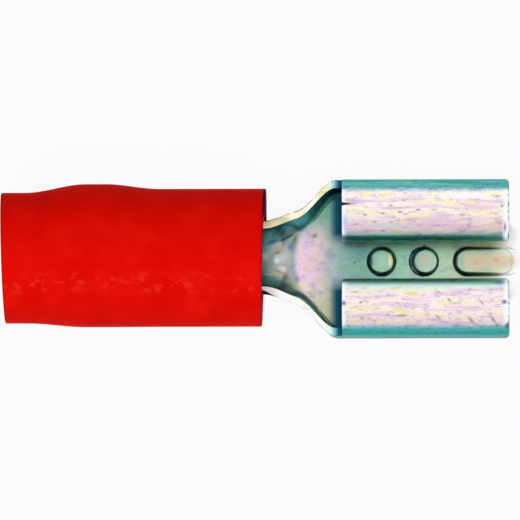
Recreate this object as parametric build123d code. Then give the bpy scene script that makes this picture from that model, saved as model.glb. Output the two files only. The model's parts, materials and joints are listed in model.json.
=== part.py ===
from build123d import *
import os
from math import asin, atan2, ceil, cos, degrees, hypot, radians, sin, tan

# Female spade terminal for a 4.8 x 0.8 mm tab, with a red vinyl sleeve. Millimetres.
# It is drawn straight, with the wire barrel's axis on X and the tab's mouth towards +X,
# and the last lines lay it down as it comes to rest: on its nose and its sleeve's front edge.

# Tab that the terminal is pushed on
tab_thickness = 0.80
grip_squeeze = 0.08

# Brass sheet that the terminal is stamped from
sheet = 0.30

# Wire barrel
barrel_outer_diameter = 2.80
barrel_length = 4.10
barrel_seam = 0.06
entry_chamfer = 0.08
groove_count = 3
groove_width = 0.25
groove_depth = 0.05
groove_pitch = 0.80

# Receptacle
receptacle_width = 5.91
receptacle_length = 6.29
floor_bend = 0.45
roll_gap = 1.41
roll_gap_shift = 0.10
roll_top_run = 0.38
curl_angle = 110.0
curl_run = 0.10
mouth_corner = 0.15
mouth_bevel = 0.06

# Neck between the barrel and the receptacle
neck_length = 2.98
channel_rise = 0.05
wing_height = 1.50
wing_lean = 14.0
floor_drop = 0.20
channel_floor_angle = 20.0
channel_opening = 0.28
neck_step = 0.28

# Stretches of the neck, as shares of its length, over which its section changes
channel_widens = (0.15, 0.60)
wings_widen = (0.50, 0.93)
floor_flattens = (0.34, 0.52)
floor_steps_down = (0.28, 0.58)
wings_lean_out = (0.10, 0.60)
wings_stand_up = (0.66, 0.98)

# Lip in front of the rolls
lip_length = 0.47
lip_root_width = 3.13
lip_end_width = 2.32
lip_bevel = 0.14

# Raised marks on the receptacle's floor
bump_height = 0.20
bump_diameter = 1.16
press_slope = 0.17
first_bump_place = 1.48
second_bump_place = 3.07
second_bump_shift = 0.08
ramp_place = 4.15
ramp_length = 2.40
ramp_width = 1.17
ramp_front_height = 0.03
emboss_inset = 0.30

# Metal grip sleeve round the barrel
grip_wall = 0.35
grip_length = 5.75
grip_front_lead = 0.20
flare_length = 1.20
flare_rise = 0.125
fit_clearance = 0.02

# Vinyl sleeve
vinyl_length = 9.79
vinyl_wall = 0.81
vinyl_front_recess = 0.30
vinyl_rear_diameter = 4.93
vinyl_rear_bore = 3.30
seat_ramp = 0.35
hump_thinning = 0.03
hump_shift = 0.09
hump_rear_ramp = 2.20
hump_front_ramp = 2.00
hump_flat_rear = 0.65
hump_flat_front = 0.15
hump_step = 0.35
rear_slant = 1.8
front_slant = 1.1
vinyl_edge_round = 0.12

# Places along X, from the vinyl sleeve's rear end
grip_front = vinyl_length - vinyl_front_recess
grip_rear = grip_front - grip_length
barrel_front = grip_front - grip_front_lead
barrel_rear = barrel_front - barrel_length
roll_rear = vinyl_length + neck_length
roll_front = roll_rear + receptacle_length
lip_front = roll_front + lip_length

# Heights, from the barrel's axis
barrel_radius = barrel_outer_diameter / 2
bore_radius = barrel_radius - sheet
underside = -barrel_radius - floor_drop
floor_top = underside + sheet
floor_middle = underside + sheet / 2

# Grip sleeve and vinyl sleeve, round the barrel
grip_bore_radius = barrel_radius + fit_clearance
grip_radius = grip_bore_radius + grip_wall
flare_radius = grip_radius + flare_rise
seat_radius = grip_radius + fit_clearance
flare_seat_radius = flare_radius + fit_clearance
vinyl_front_radius = seat_radius + vinyl_wall
vinyl_hump_radius = flare_seat_radius + vinyl_wall - hump_thinning
vinyl_rear_radius = vinyl_rear_diameter / 2


def ease(value, start, end):
    """Share from 0 at start to 1 at end, with level ends."""
    share = min(max((value - start) / (end - start), 0.0), 1.0)
    return share * share * (3 - 2 * share)


def sheet_side(middle, steps):
    """Both faces and the cut edge of a sheet seen on its edge, from the middle out to +Y.

    Each step is (length, 0) for a straight run or (radius, angle) for a bend, measured on the
    sheet's mid-line.
    """
    edges = []
    ends = []
    for inward in (1, -1):
        point = Vector(0, middle + inward * sheet / 2)
        heading = 0.0
        for size, turn in steps:
            direction = Vector(cos(radians(heading)), sin(radians(heading)))
            if turn == 0:
                edge = Line(point, point + direction * size)
            else:
                edge = JernArc(point, direction, size - inward * sheet / 2, turn)
            edges.append(edge)
            point = edge @ 1
            heading += turn
        ends.append(point)
    edges.append(Line(ends[0], ends[1]))
    return edges


def sheet_section(place, middle, right_steps, left_steps):
    """Whole section across the sheet at one place along X, with +Y on its right."""
    right = sheet_side(middle, right_steps)
    left = [edge.mirror(Plane.YZ) for edge in sheet_side(middle, left_steps)]
    return Plane.YZ.offset(place) * Face(Wire(right + left))


def roll_steps(top_run):
    """Mid-line of the receptacle's side: floor, wall, and the roll that presses on the tab."""
    floor_run = receptacle_width / 2 - sheet / 2 - floor_bend
    roll_width = (receptacle_width - roll_gap) / 2
    roll_radius = (roll_width - sheet - roll_top_run) / 2
    drop = roll_radius * (1 - cos(radians(curl_angle))) + curl_run * sin(radians(curl_angle))
    edge_drop = sheet / 2 * abs(cos(radians(curl_angle)))
    roll_low = floor_top + bump_height + tab_thickness - grip_squeeze
    roll_top_middle = roll_low + edge_drop + drop
    wall_run = roll_top_middle - floor_middle - floor_bend - roll_radius
    return [
        (floor_run, 0),
        (floor_bend, 90),
        (wall_run, 0),
        (roll_radius, 90),
        (top_run, 0),
        (roll_radius, curl_angle),
        (curl_run, 0),
    ]


def neck_section(share):
    """Section of the neck, from the open half of the barrel (0) to the receptacle's U (1)."""
    spread = channel_opening * ease(share, *channel_widens)
    spread += (1 - channel_opening) * ease(share, *wings_widen)
    half_width = barrel_radius + (receptacle_width / 2 - barrel_radius) * spread
    flattening = ease(share, *floor_flattens)
    bend = barrel_radius - sheet / 2
    bend += (floor_bend - bend) * flattening
    floor_angle = radians(channel_floor_angle * (1 - flattening))
    lean = wing_lean * ease(share, *wings_lean_out) * (1 - ease(share, *wings_stand_up))
    turn = radians(90 - lean)
    middle = -barrel_radius + sheet / 2 - floor_drop * ease(share, *floor_steps_down)
    barrel_height = barrel_radius + channel_rise
    height = barrel_height + (wing_height - barrel_height) * share - sheet / 2
    reach = half_width - sheet / 2 * sin(turn) - bend * (sin(turn) - sin(floor_angle))
    bow = tan(floor_angle / 2)
    bend_rise = bend * (cos(floor_angle) - cos(turn))
    wall_run = (height - reach * bow - bend_rise) / (sin(turn) - bow * cos(turn))
    floor_half = reach - wall_run * cos(turn)
    floor_step = (floor_half, 0)
    if floor_angle > 0:
        floor_step = (floor_half / sin(floor_angle), degrees(floor_angle))
    steps = [floor_step, (bend, degrees(turn - floor_angle)), (wall_run, 0)]
    return sheet_section(barrel_front + (roll_rear - barrel_front) * share, middle, steps, steps)


def make_neck():
    """Open channel that flattens and spreads into the receptacle."""
    spans = ceil((roll_rear - barrel_front) / neck_step)
    sections = [neck_section(number / spans) for number in range(spans + 1)]
    return loft(sections)


def make_barrel():
    """Rolled tube with a butt seam on top and gripping grooves inside."""
    along = Plane.YZ.offset(barrel_rear)
    ring = Circle(barrel_radius) - Circle(bore_radius)
    barrel = extrude(along * ring, barrel_length)
    entry = along * Cone(
        bore_radius + entry_chamfer, bore_radius, entry_chamfer, align=(Align.CENTER, Align.CENTER, Align.MIN)
    )
    barrel -= entry
    first_groove = barrel_rear + barrel_length / 2 - groove_pitch * (groove_count - 1) / 2
    for number in range(groove_count):
        place = first_groove + groove_pitch * number
        groove = Circle(bore_radius + groove_depth) - Circle(bore_radius - groove_depth)
        barrel -= extrude(Plane.YZ.offset(place - groove_width / 2) * groove, groove_width)
    seam = Box(barrel_length, barrel_seam, barrel_radius, align=(Align.MIN, Align.CENTER, Align.MIN))
    return barrel - Pos(barrel_rear, 0, bore_radius / 2) * seam


def make_lip():
    """Tongue of the floor in front of the rolls, with a bevel that leads the tab in."""
    root = roll_front - sheet
    outline = Polyline(
        (root, -lip_root_width / 2),
        (roll_front, -lip_root_width / 2),
        (lip_front, -lip_end_width / 2),
        (lip_front, lip_end_width / 2),
        (roll_front, lip_root_width / 2),
        (root, lip_root_width / 2),
        close=True,
    )
    lip = extrude(Plane.XY.offset(underside) * make_face(outline), sheet)
    lead_in = lip.edges().group_by(Axis.X)[-1].group_by(Axis.Z)[-1]
    return chamfer(lead_in, lip_bevel)


def bump(place, top_shift, base_height, inset):
    """Round pressed bump, or the hollow under it when its diameters are inset."""
    radius = (bump_diameter - inset) / 2
    base = Plane.XY.offset(base_height) * Pos(place, 0) * Circle(radius)
    top = Plane.XY.offset(base_height + bump_height) * Pos(place + top_shift, 0) * Circle(radius - press_slope)
    return loft([base, top])


def ramp(base_height, inset):
    """Long pressed ramp that rises from the mouth, or the hollow under it."""
    middle = roll_rear + ramp_place + ramp_length / 2
    slope = 2 * press_slope
    base = SlotOverall(ramp_length - inset, ramp_width - inset)
    top = SlotOverall(ramp_length - inset - slope, ramp_width - inset - slope)
    pad = loft(
        [
            Plane.XY.offset(base_height) * Pos(middle, 0) * base,
            Plane.XY.offset(base_height + bump_height) * Pos(middle, 0) * top,
        ]
    )
    rear = middle - ramp_length / 2
    front = middle + ramp_length / 2
    wedge = Polyline(
        (rear, base_height),
        (front, base_height),
        (front, base_height + ramp_front_height),
        (rear + slope, base_height + bump_height),
        (rear, base_height + bump_height),
        close=True,
    )
    side = Plane.XZ * make_face(wedge)
    return pad & extrude(side, ramp_width, both=True)


def make_receptacle():
    """Floor with two rolls above it that hold the tab down on the bumps, the +Y one wider."""
    wide_roll = roll_steps(roll_top_run + roll_gap_shift)
    narrow_roll = roll_steps(roll_top_run - roll_gap_shift)
    section = sheet_section(roll_rear, floor_middle, wide_roll, narrow_roll)
    body = extrude(section, receptacle_length, dir=(1, 0, 0))
    mouth = body.faces().sort_by(Axis.X)[-1]
    body = chamfer(mouth.edges(), mouth_bevel)
    plan = Pos(roll_rear + receptacle_length / 2, 0) * Rectangle(receptacle_length, receptacle_width)
    front_corners = plan.vertices().group_by(Axis.X)[-1]
    plan = fillet(front_corners, mouth_corner)
    body &= extrude(Plane.XY.offset(underside) * plan, receptacle_width)
    return body


def make_terminal_body():
    """Receptacle, neck and barrel, stamped and rolled from one sheet."""
    body = make_receptacle() + make_neck() + make_barrel() + make_lip()
    for place, top_shift in ((first_bump_place, 0.0), (second_bump_place, second_bump_shift)):
        body += bump(roll_rear + place, top_shift, floor_top, 0.0)
        body -= bump(roll_rear + place, top_shift, underside, emboss_inset)
    body += ramp(floor_top, 0.0)
    body -= ramp(underside, emboss_inset)
    return body


def turned(points):
    """Solid of revolution round X, from (place, radius) corners."""
    return revolve(Plane.XZ * make_face(Polyline(*points, close=True)), axis=Axis.X)


def make_grip_sleeve():
    """Thin tube pressed over the barrel, with a flared rear mouth for the wire's insulation."""
    return turned(
        [
            (grip_rear, flare_radius - grip_wall),
            (grip_rear, flare_radius),
            (grip_rear + flare_length, grip_radius),
            (grip_front, grip_radius),
            (grip_front, grip_bore_radius),
            (grip_rear + flare_length, grip_bore_radius),
        ]
    )


def vinyl_outline(place):
    """Outside radius of the vinyl and its shift towards +Y, at one place along X."""
    flat_start = grip_rear - hump_flat_rear
    flat_end = grip_rear + hump_flat_front
    rise = ease(place, flat_start - hump_rear_ramp, flat_start)
    fall = ease(place, flat_end, flat_end + hump_front_ramp)
    radius = vinyl_rear_radius + (vinyl_hump_radius - vinyl_rear_radius) * rise
    radius -= (vinyl_hump_radius - vinyl_front_radius) * fall
    return radius, hump_shift * (rise - fall)


def make_insulating_sleeve():
    """Vinyl sleeve pushed over the grip sleeve, whose flare swells it."""
    overhang = vinyl_rear_radius * tan(radians(rear_slant)) * 2
    hump_start = grip_rear - hump_flat_rear - hump_rear_ramp
    hump_end = grip_rear + hump_flat_front + hump_front_ramp
    spans = ceil((hump_end - hump_start) / hump_step)
    rings = []
    for number in range(spans + 1):
        place = hump_start + (hump_end - hump_start) * number / spans
        radius, shift = vinyl_outline(place)
        rings.append(Plane.YZ.offset(place) * Pos(shift, 0) * Circle(radius))
    outside = loft(rings)
    outside += extrude(Plane.YZ.offset(-overhang) * Circle(vinyl_rear_radius), hump_start + overhang)
    front_length = vinyl_length + overhang - hump_end
    outside += extrude(Plane.YZ.offset(hump_end) * Circle(vinyl_front_radius), front_length)
    inside = turned(
        [
            (-2 * overhang, 0),
            (-2 * overhang, vinyl_rear_bore / 2),
            (grip_rear - seat_ramp, vinyl_rear_bore / 2),
            (grip_rear, flare_seat_radius),
            (grip_rear + flare_length, seat_radius),
            (vinyl_length + 2 * overhang, seat_radius),
            (vinyl_length + 2 * overhang, 0),
        ]
    )
    sleeve = outside - inside
    rear_angle = radians(rear_slant)
    front_angle = radians(front_slant)
    rear_cut = Plane(origin=(0, 0, 0), z_dir=(cos(rear_angle), sin(rear_angle), 0))
    front_cut = Plane(origin=(vinyl_length, 0, 0), z_dir=(-cos(front_angle), sin(front_angle), 0))
    sleeve = split(sleeve, bisect_by=rear_cut, keep=Keep.TOP)
    sleeve = split(sleeve, bisect_by=front_cut, keep=Keep.TOP)
    ends = sleeve.faces().filter_by(GeomType.PLANE)
    rims = [max(end.edges(), key=lambda edge: edge.length) for end in ends]
    return fillet(rims, vinyl_edge_round)


def lay_down(pieces):
    """Tips the pieces nose down until nose and sleeve touch the surface, centred on it."""
    reach = lip_front - vinyl_length + vinyl_edge_round
    drop = underside + vinyl_front_radius - vinyl_edge_round
    rest_tilt = degrees(atan2(drop, reach) + asin(vinyl_edge_round / hypot(drop, reach)))
    tipped = {name: Rot(0, rest_tilt, 0) * piece for name, piece in pieces.items()}
    box = Compound(list(tipped.values())).bounding_box()
    middle = box.center()
    return {name: Pos(-middle.X, -middle.Y, -box.min.Z) * piece for name, piece in tipped.items()}


def make_parts():
    """Every piece, in its place."""
    return lay_down(
        {
            "terminal_body": make_terminal_body(),
            "grip_sleeve": make_grip_sleeve(),
            "insulating_sleeve": make_insulating_sleeve(),
        }
    )


os.makedirs("parts", exist_ok=True)
for name, piece in make_parts().items():
    export_step(piece, f"parts/{name}.step")
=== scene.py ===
import json
from math import asin, cos, hypot, pi, radians, sin, sqrt, tan

import bmesh
import bpy
from mathutils import Matrix, Vector


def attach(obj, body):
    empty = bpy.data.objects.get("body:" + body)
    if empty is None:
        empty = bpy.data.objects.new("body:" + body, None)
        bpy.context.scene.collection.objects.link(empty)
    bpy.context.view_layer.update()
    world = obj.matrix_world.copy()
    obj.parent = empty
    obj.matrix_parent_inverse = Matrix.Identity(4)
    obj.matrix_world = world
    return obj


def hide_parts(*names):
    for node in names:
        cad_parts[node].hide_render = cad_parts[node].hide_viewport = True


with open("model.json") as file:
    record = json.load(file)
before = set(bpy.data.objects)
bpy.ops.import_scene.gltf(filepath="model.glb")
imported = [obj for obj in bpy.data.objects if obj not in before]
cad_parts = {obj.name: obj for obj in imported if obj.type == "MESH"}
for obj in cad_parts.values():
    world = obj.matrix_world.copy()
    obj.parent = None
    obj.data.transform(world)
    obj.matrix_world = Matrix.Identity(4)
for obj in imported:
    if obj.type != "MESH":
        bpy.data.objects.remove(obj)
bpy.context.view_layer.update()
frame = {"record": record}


# Terminal body. One piece of thin brass sheet, tin-plated, stamped from a flat blank and rolled up:
# a wire barrel at the rear, a neck that opens into a flat floor, and two side rolls that press the
# tab on the floor's bumps. It is held by its barrel inside the grip sleeve.
sheet = 0.30
barrel_rear = 5.19
barrel_front = 9.29
barrel_radius = 1.40
barrel_seam = 0.06
entry_chamfer = 0.08
groove_places = (6.44, 7.24, 8.04)
groove_width = 0.25
groove_depth = 0.05
groove_shoulder = 0.01
roll_rear = 12.77
roll_front = 19.06
receptacle_width = 5.91
floor_bend = 0.45
side_wall_run = 1.034
roll_radius = 0.785
wide_roll_top = 0.48
narrow_roll_top = 0.28
curl_angle = radians(110)
curl_run = 0.10
mouth_round = 0.15
notch_length = 0.34
channel_rise = 0.05
wing_height = 1.50
wing_lean = radians(14)
floor_drop = 0.20
channel_floor_angle = radians(20)
channel_opening = 0.28
lip_front = 19.53
lip_root_half = 1.565
lip_end_half = 1.16
lip_bevel = 0.14
edge_round = 0.03
mark_height = 0.20
mark_radius = 0.58
press_slope = 0.17
first_bump = roll_rear + 1.48
second_bump = roll_rear + 3.07
second_bump_shift = 0.08
ramp_rear = roll_rear + 4.15
ramp_front = ramp_rear + 2.40
ramp_run_out = 0.60
ramp_front_height = 0.03
hollow_inset = 0.15
floor_run = receptacle_width / 2 - sheet / 2 - floor_bend
floor_middle = -barrel_radius - floor_drop + sheet / 2
bumps = ((first_bump, 0.0), (second_bump, second_bump_shift))

# Stretches of the neck, as shares of its length, over which its section changes
channel_widens = (0.15, 0.60)
wings_widen = (0.50, 0.93)
floor_flattens = (0.34, 0.52)
floor_steps_down = (0.28, 0.58)
wings_lean_out = (0.10, 0.60)
wings_stand_up = (0.66, 0.98)

# It is drawn straight, in millimetres: the wire barrel's axis on X, the vinyl's rear end at x = 0
# and the tab's mouth towards +X. The record gives the barrel's middle as a mount, at mount_place
# on the straight terminal, and that mount's own place and axis lay everything on the floor.
barrel_mount = next(mount for mount in frame["record"]["mounts"] if mount["name"] == "wire_barrel")
mount_place = 7.28
forward = -Vector(barrel_mount["axis"])
sideways = Vector((0, 1, 0))
upward = forward.cross(sideways)
origin = Vector(barrel_mount["pos_m"]) - forward * mount_place * 0.001
lay_down = Matrix.Translation(origin) @ Matrix((forward, sideways, upward)).transposed().to_4x4()
lay_down = lay_down @ Matrix.Scale(0.001, 4)


def ease(value, start, end):
    """Share from 0 at start to 1 at end, with level ends."""
    share = min(max((value - start) / (end - start), 0.0), 1.0)
    return share * share * (3 - 2 * share)


def evenly(start, end, count):
    """Count stops from just after start up to end."""
    return [start + (end - start) * number / count for number in range(1, count + 1)]


# Columns of the blank, from its middle out: close together where the bumps are pressed. The shares
# place them on the floor, the bend, the low wall, and the roll's five runs and bends.
mark_strip = 0.62
floor_columns = evenly(0, mark_strip, 22) + evenly(mark_strip, lip_root_half, 5)
lip_columns = len(floor_columns)
floor_columns += evenly(lip_root_half, floor_run, 3)
floor_shares = [place / floor_run for place in floor_columns]
bend_shares = evenly(0, 1, 7)
wall_shares = evenly(0, 1, 4)
side_columns = len(floor_shares) + len(bend_shares) + len(wall_shares)
roll_shares = ([1.0], evenly(0, 1, 13), [0.08, 0.22, 0.36, 1.0], evenly(0, 1, 16), [1.0])
notch_column = side_columns + len(roll_shares[0]) + len(roll_shares[1]) + 2
edge_columns = side_columns + sum(len(shares) for shares in roll_shares)


def sheet_line(middle, steps):
    """The sheet's mid-line from the middle out, as (y, z, heading, length so far) at each column.

    A step is (length, 0, shares) for a straight run or (radius, angle, shares) for a bend.
    """
    line = [(0.0, middle, 0.0, 0.0)]
    for size, turn, shares in steps:
        y, z, heading, so_far = line[-1]
        for share in shares:
            if turn == 0:
                step = (y + size * share * cos(heading), z + size * share * sin(heading), heading)
                line.append((*step, so_far + size * share))
            else:
                angle = heading + turn * share
                across = size * (sin(angle) - sin(heading))
                rise = size * (cos(heading) - cos(angle))
                line.append((y + across, z + rise, angle, so_far + size * turn * share))
    return line


def neck_line(share):
    """Mid-line across the neck, from the open half of the barrel (0) to the receptacle (1)."""
    spread = channel_opening * ease(share, *channel_widens)
    spread += (1 - channel_opening) * ease(share, *wings_widen)
    half_width = barrel_radius + (receptacle_width / 2 - barrel_radius) * spread
    flattening = ease(share, *floor_flattens)
    bend = barrel_radius - sheet / 2
    bend += (floor_bend - bend) * flattening
    floor_angle = channel_floor_angle * (1 - flattening)
    turn = pi / 2 - wing_lean * ease(share, *wings_lean_out) * (1 - ease(share, *wings_stand_up))
    middle = -barrel_radius + sheet / 2 - floor_drop * ease(share, *floor_steps_down)
    barrel_height = barrel_radius + channel_rise
    height = barrel_height + (wing_height - barrel_height) * share - sheet / 2
    reach = half_width - sheet / 2 * sin(turn) - bend * (sin(turn) - sin(floor_angle))
    bow = tan(floor_angle / 2)
    bend_rise = bend * (cos(floor_angle) - cos(turn))
    wall_run = (height - reach * bow - bend_rise) / (sin(turn) - bow * cos(turn))
    floor_half = reach - wall_run * cos(turn)
    floor = (floor_half, 0, floor_shares)
    if floor_angle > 0:
        floor = (floor_half / sin(floor_angle), floor_angle, floor_shares)
    bend_up = (bend, turn - floor_angle, bend_shares)
    return sheet_line(middle, [floor, bend_up, (wall_run, 0, wall_shares)])


def barrel_line():
    """Mid-line of half the barrel, from the bottom up to the seam."""
    radius = barrel_radius - sheet / 2
    rise = asin(channel_rise / radius)
    seam = barrel_seam / 2 / radius
    crown = evenly(0, 1, edge_columns - side_columns)
    return sheet_line(
        -radius,
        [
            (radius, channel_floor_angle, floor_shares),
            (radius, pi / 2 - channel_floor_angle, bend_shares),
            (radius, rise, wall_shares),
            (radius, pi / 2 - rise - seam, crown),
        ],
    )


def receptacle_line(top_run):
    """Mid-line of half the receptacle: floor, side wall and roll."""
    low_wall = wing_height - sheet / 2 - floor_bend
    sizes = (
        (side_wall_run - low_wall, 0),
        (roll_radius, pi / 2),
        (top_run, 0),
        (roll_radius, curl_angle),
        (curl_run, 0),
    )
    roll = [(size, turn, shares) for (size, turn), shares in zip(sizes, roll_shares)]
    floor = (floor_run, 0, floor_shares)
    wall = (low_wall, 0, wall_shares)
    return sheet_line(floor_middle, [floor, (floor_bend, pi / 2, bend_shares), wall] + roll)


# Stations along the blank, close together at the grooves, the bumps and the mouth, with a few plain
# ones along the barrel. The rounded mouth has one at each of its angles.
mouth_angles = (25, 45, 62, 77, 90)
ramp_lead = 0.04
stations = [barrel_rear, barrel_rear + entry_chamfer, 5.7, 6.1]
for groove in groove_places:
    for edge in (groove - groove_width / 2, groove + groove_width / 2):
        stations += [edge - groove_shoulder, edge + groove_shoulder]
stations += [8.5, 8.9, barrel_front]
neck_start = len(stations) - 1
stations += evenly(barrel_front, roll_rear, 56)
neck_end = len(stations) - 1
for stretch_end, count in (
    (first_bump - mark_strip, 6),
    (first_bump + mark_strip, 44),
    (second_bump - mark_strip, 2),
    (second_bump + mark_strip, 44),
    (ramp_rear - ramp_lead, 3),
    (ramp_rear + mark_strip, 24),
    (roll_front - mouth_round, 8),
):
    stations += evenly(stations[-1], stretch_end, count)
stations += [roll_front - mouth_round * (1 - sin(radians(angle))) for angle in mouth_angles]
lip_start = len(stations) - 1
stations += evenly(roll_front, lip_front - lip_bevel, 7) + [lip_front]


def relief(x, inward, on_lip):
    """How far a face lies below the sheet's full thickness: entry, grooves and rounded mouth."""
    if x < barrel_front:
        in_groove = any(abs(x - groove) < groove_width / 2 for groove in groove_places)
        entry = max(0.0, barrel_rear + entry_chamfer - x)
        return max(groove_depth * in_groove, entry) if inward else 0.0
    if x > roll_front - mouth_round and not on_lip and not inward:
        reach = min(x - (roll_front - mouth_round), mouth_round)
        return mouth_round - sqrt(mouth_round**2 - reach**2)
    return 0.0


# Short enough a step along the floor to measure how steep a pressed mark is
short_step = 0.01


def pressed(x, y, inset):
    """Height of the two bumps and the ramp pressed up in the floor, each smaller by the inset."""
    height = 0.0
    for place, shift in bumps:
        away = hypot(x - place, y)
        slope = press_slope - shift * (x - place) / max(away, short_step)
        rise = ease(mark_radius - inset - away, 0, slope)
        height = max(height, mark_height * rise)
    near = min(max(x, ramp_rear + mark_radius), ramp_front - mark_radius)
    away = hypot(x - near, y)
    lowering = ease(x, ramp_rear, ramp_front + ramp_run_out)
    top = mark_height + (ramp_front_height - mark_height) * lowering
    return max(height, top * ease(mark_radius - inset - away, 0, press_slope))


station_count = len(stations) - 1
blank = bmesh.new()
bmesh.ops.create_grid(
    blank,
    x_segments=station_count,
    y_segments=2 * edge_columns,
    size=0.5,
    matrix=Matrix.Diagonal((station_count, 2 * edge_columns, 1, 1)),
)


def blank_place(point):
    """Station and signed column of a point of the flat blank."""
    return round(point.x + station_count / 2), round(point.y)


waste = []
for face in blank.faces:
    middle = face.calc_center_median()
    station = middle.x + station_count / 2
    if neck_start < station < neck_end and abs(middle.y) > side_columns:
        waste.append(face)
    if station > lip_start and abs(middle.y) > lip_columns:
        waste.append(face)
bmesh.ops.delete(blank, geom=waste, context="FACES")
bmesh.ops.solidify(blank, geom=blank.faces[:], thickness=1.0)
slab_middle = sum(vertex.co.z for vertex in blank.verts) / len(blank.verts)
for face in blank.faces:
    face.normal_update()
    face.material_index = 1 if abs(face.normal.z) < 0.5 else 0

# Each vertex of the flat slab goes to its bent place, and keeps where it was on the sheet: how far
# along and across, how far the sheet is bent there, on which face it lies and how steeply pressed.
place_layer = blank.verts.layers.float_vector.new("sheet_place")
bent_layer = blank.verts.layers.float_vector.new("sheet_bent")
neck_lines = {
    number: neck_line((stations[number] - barrel_front) / (roll_rear - barrel_front))
    for number in range(neck_start + 1, neck_end)
}
straight_barrel = barrel_line()
wide_side = receptacle_line(wide_roll_top)
narrow_side = receptacle_line(narrow_roll_top)
full_bend = pi + curl_angle
notch_fade = 3 * notch_length
for vertex in blank.verts:
    station, column = blank_place(vertex.co)
    x = stations[station]
    side = 1 if column >= 0 else -1
    if station <= neck_start:
        line = straight_barrel
    elif station < neck_end:
        line = neck_lines[station]
    else:
        line = wide_side if side > 0 else narrow_side
    y, z, heading, length = line[abs(column)]
    inward = vertex.co.z > slab_middle
    on_lip = abs(column) <= lip_columns
    half = (sheet / 2 - relief(x, inward, on_lip)) * (1 if inward else -1)
    if station > lip_start:
        narrowing = (x - roll_front) / (lip_front - roll_front)
        y *= 1 + (lip_end_half / lip_root_half - 1) * narrowing
    y -= half * sin(heading)
    z += half * cos(heading)
    steepness = 0.0
    if station > neck_end and on_lip:
        inset = 0.0 if inward else hollow_inset
        rise = pressed(x, y, inset)
        next_along = pressed(x + short_step, y, inset)
        next_across = pressed(x, y + short_step, inset)
        steepness = hypot(next_along - rise, next_across - rise) / short_step
        z += rise
    if station == station_count and inward:
        z -= lip_bevel
    if column == notch_column and station >= neck_end:
        x += notch_length * max(0.0, 1 - (x - roll_rear) / notch_fade)
    vertex[place_layer] = (x, length * side, 0)
    vertex[bent_layer] = (heading / full_bend, 1.0 if inward else 0.0, steepness)
    vertex.co = (x, y * side, z)

bmesh.ops.recalc_face_normals(blank, faces=blank.faces[:])


def round_edges(shape, offset, segments, clamp_overlap=False):
    """Rounds the edges where two faces of a shape meet at more than 60 degrees."""
    sharp = [edge for edge in shape.edges if edge.calc_face_angle(0) > radians(60)]
    bmesh.ops.bevel(
        shape,
        geom=sharp,
        offset=offset,
        offset_type="OFFSET",
        segments=segments,
        profile=0.5,
        affect="EDGES",
        material=-1,
        clamp_overlap=clamp_overlap,
    )


round_edges(blank, edge_round, segments=2, clamp_overlap=True)


def finish_piece(shape, name, smooth_angle, materials, node):
    """Lays a straight shape down as one smooth piece that stands for its CAD node."""
    bmesh.ops.transform(shape, matrix=lay_down, verts=shape.verts[:])
    mesh = bpy.data.meshes.new(name)
    shape.to_mesh(mesh)
    shape.free()
    mesh.shade_smooth()
    mesh.set_sharp_from_angle(angle=smooth_angle)
    for material in materials:
        mesh.materials.append(material)
    piece = bpy.data.objects.new(name, mesh)
    bpy.context.scene.collection.objects.link(piece)
    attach(piece, "root")
    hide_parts(node)


def linear(hex_colour):
    """sRGB hex to the linear colour that a shader takes."""
    parts = [int(hex_colour[place : place + 2], 16) / 255 for place in (1, 3, 5)]
    return (*[p / 12.92 if p <= 0.04045 else ((p + 0.055) / 1.055) ** 2.4 for p in parts], 1)


def add_node(tree, kind, inputs=None, steps=(), **settings):
    """One shader node with its settings, its inputs (a link or a value) and a ramp's steps."""
    made = tree.nodes.new("ShaderNode" + kind)
    for name, value in settings.items():
        setattr(made, name, value)
    for socket, source in (inputs or {}).items():
        if isinstance(source, bpy.types.NodeSocket):
            tree.links.new(source, made.inputs[socket])
        else:
            made.inputs[socket].default_value = source
    for number, (position, colour) in enumerate(steps):
        if number > 1:
            made.color_ramp.elements.new(1.0)
        made.color_ramp.elements[number].position = position
        made.color_ramp.elements[number].color = linear(colour)
    return made


def start_nodes(owner):
    """The emptied node tree of a material or of the world."""
    owner.use_nodes = True
    owner.node_tree.nodes.clear()
    return owner.node_tree


# Tin-plated rolled brass: a soft bright metal, with pink, cream and violet streaks along the
# rolling direction where it lies level. Painted reflections colour it green where it stands upright
# and dark in the bends, where it mirrors dim surroundings, with white painted highlights on the
# tops.
# Cycles holds only so many values at once in one material: with too many, the metal renders black
# and nothing is reported. Shares therefore pass from node to node as numbers, not as colours.
tin = bpy.data.materials.new("tin_plated_rolled_brass")
tree = start_nodes(tin)
sheet_place = add_node(tree, "Attribute", attribute_name="sheet_place").outputs["Vector"]
sheet_bent = add_node(tree, "Attribute", attribute_name="sheet_bent").outputs["Vector"]
along_sheet, across_sheet, _ = add_node(tree, "SeparateXYZ", {"Vector": sheet_place}).outputs
how_bent, inner_face, how_steep = add_node(tree, "SeparateXYZ", {"Vector": sheet_bent}).outputs

# Patterns lie on the flat sheet, and a Mapping's scale is how many fit in a millimetre: the rolling
# streaks are 2 mm long and 0.2 mm wide, and the mottling is 0.4 by 0.15 mm. Real rolling marks are
# ten times finer, too fine to show, so they are drawn this coarse.
streak_space = add_node(
    tree, "Mapping", {"Vector": sheet_place, "Scale": (0.50, 4.6, 1)}
).outputs["Vector"]
streaks = add_node(
    tree, "TexNoise", {"Vector": streak_space, "Scale": 1.0, "Detail": 3, "Roughness": 0.6}
).outputs["Fac"]
mottle_space = add_node(
    tree, "Mapping", {"Vector": sheet_place, "Scale": (2.6, 6.5, 1)}
).outputs["Vector"]
mottles = add_node(
    tree, "TexNoise", {"Vector": mottle_space, "Scale": 1.0, "Detail": 5, "Roughness": 0.75}
).outputs["Fac"]

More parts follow.
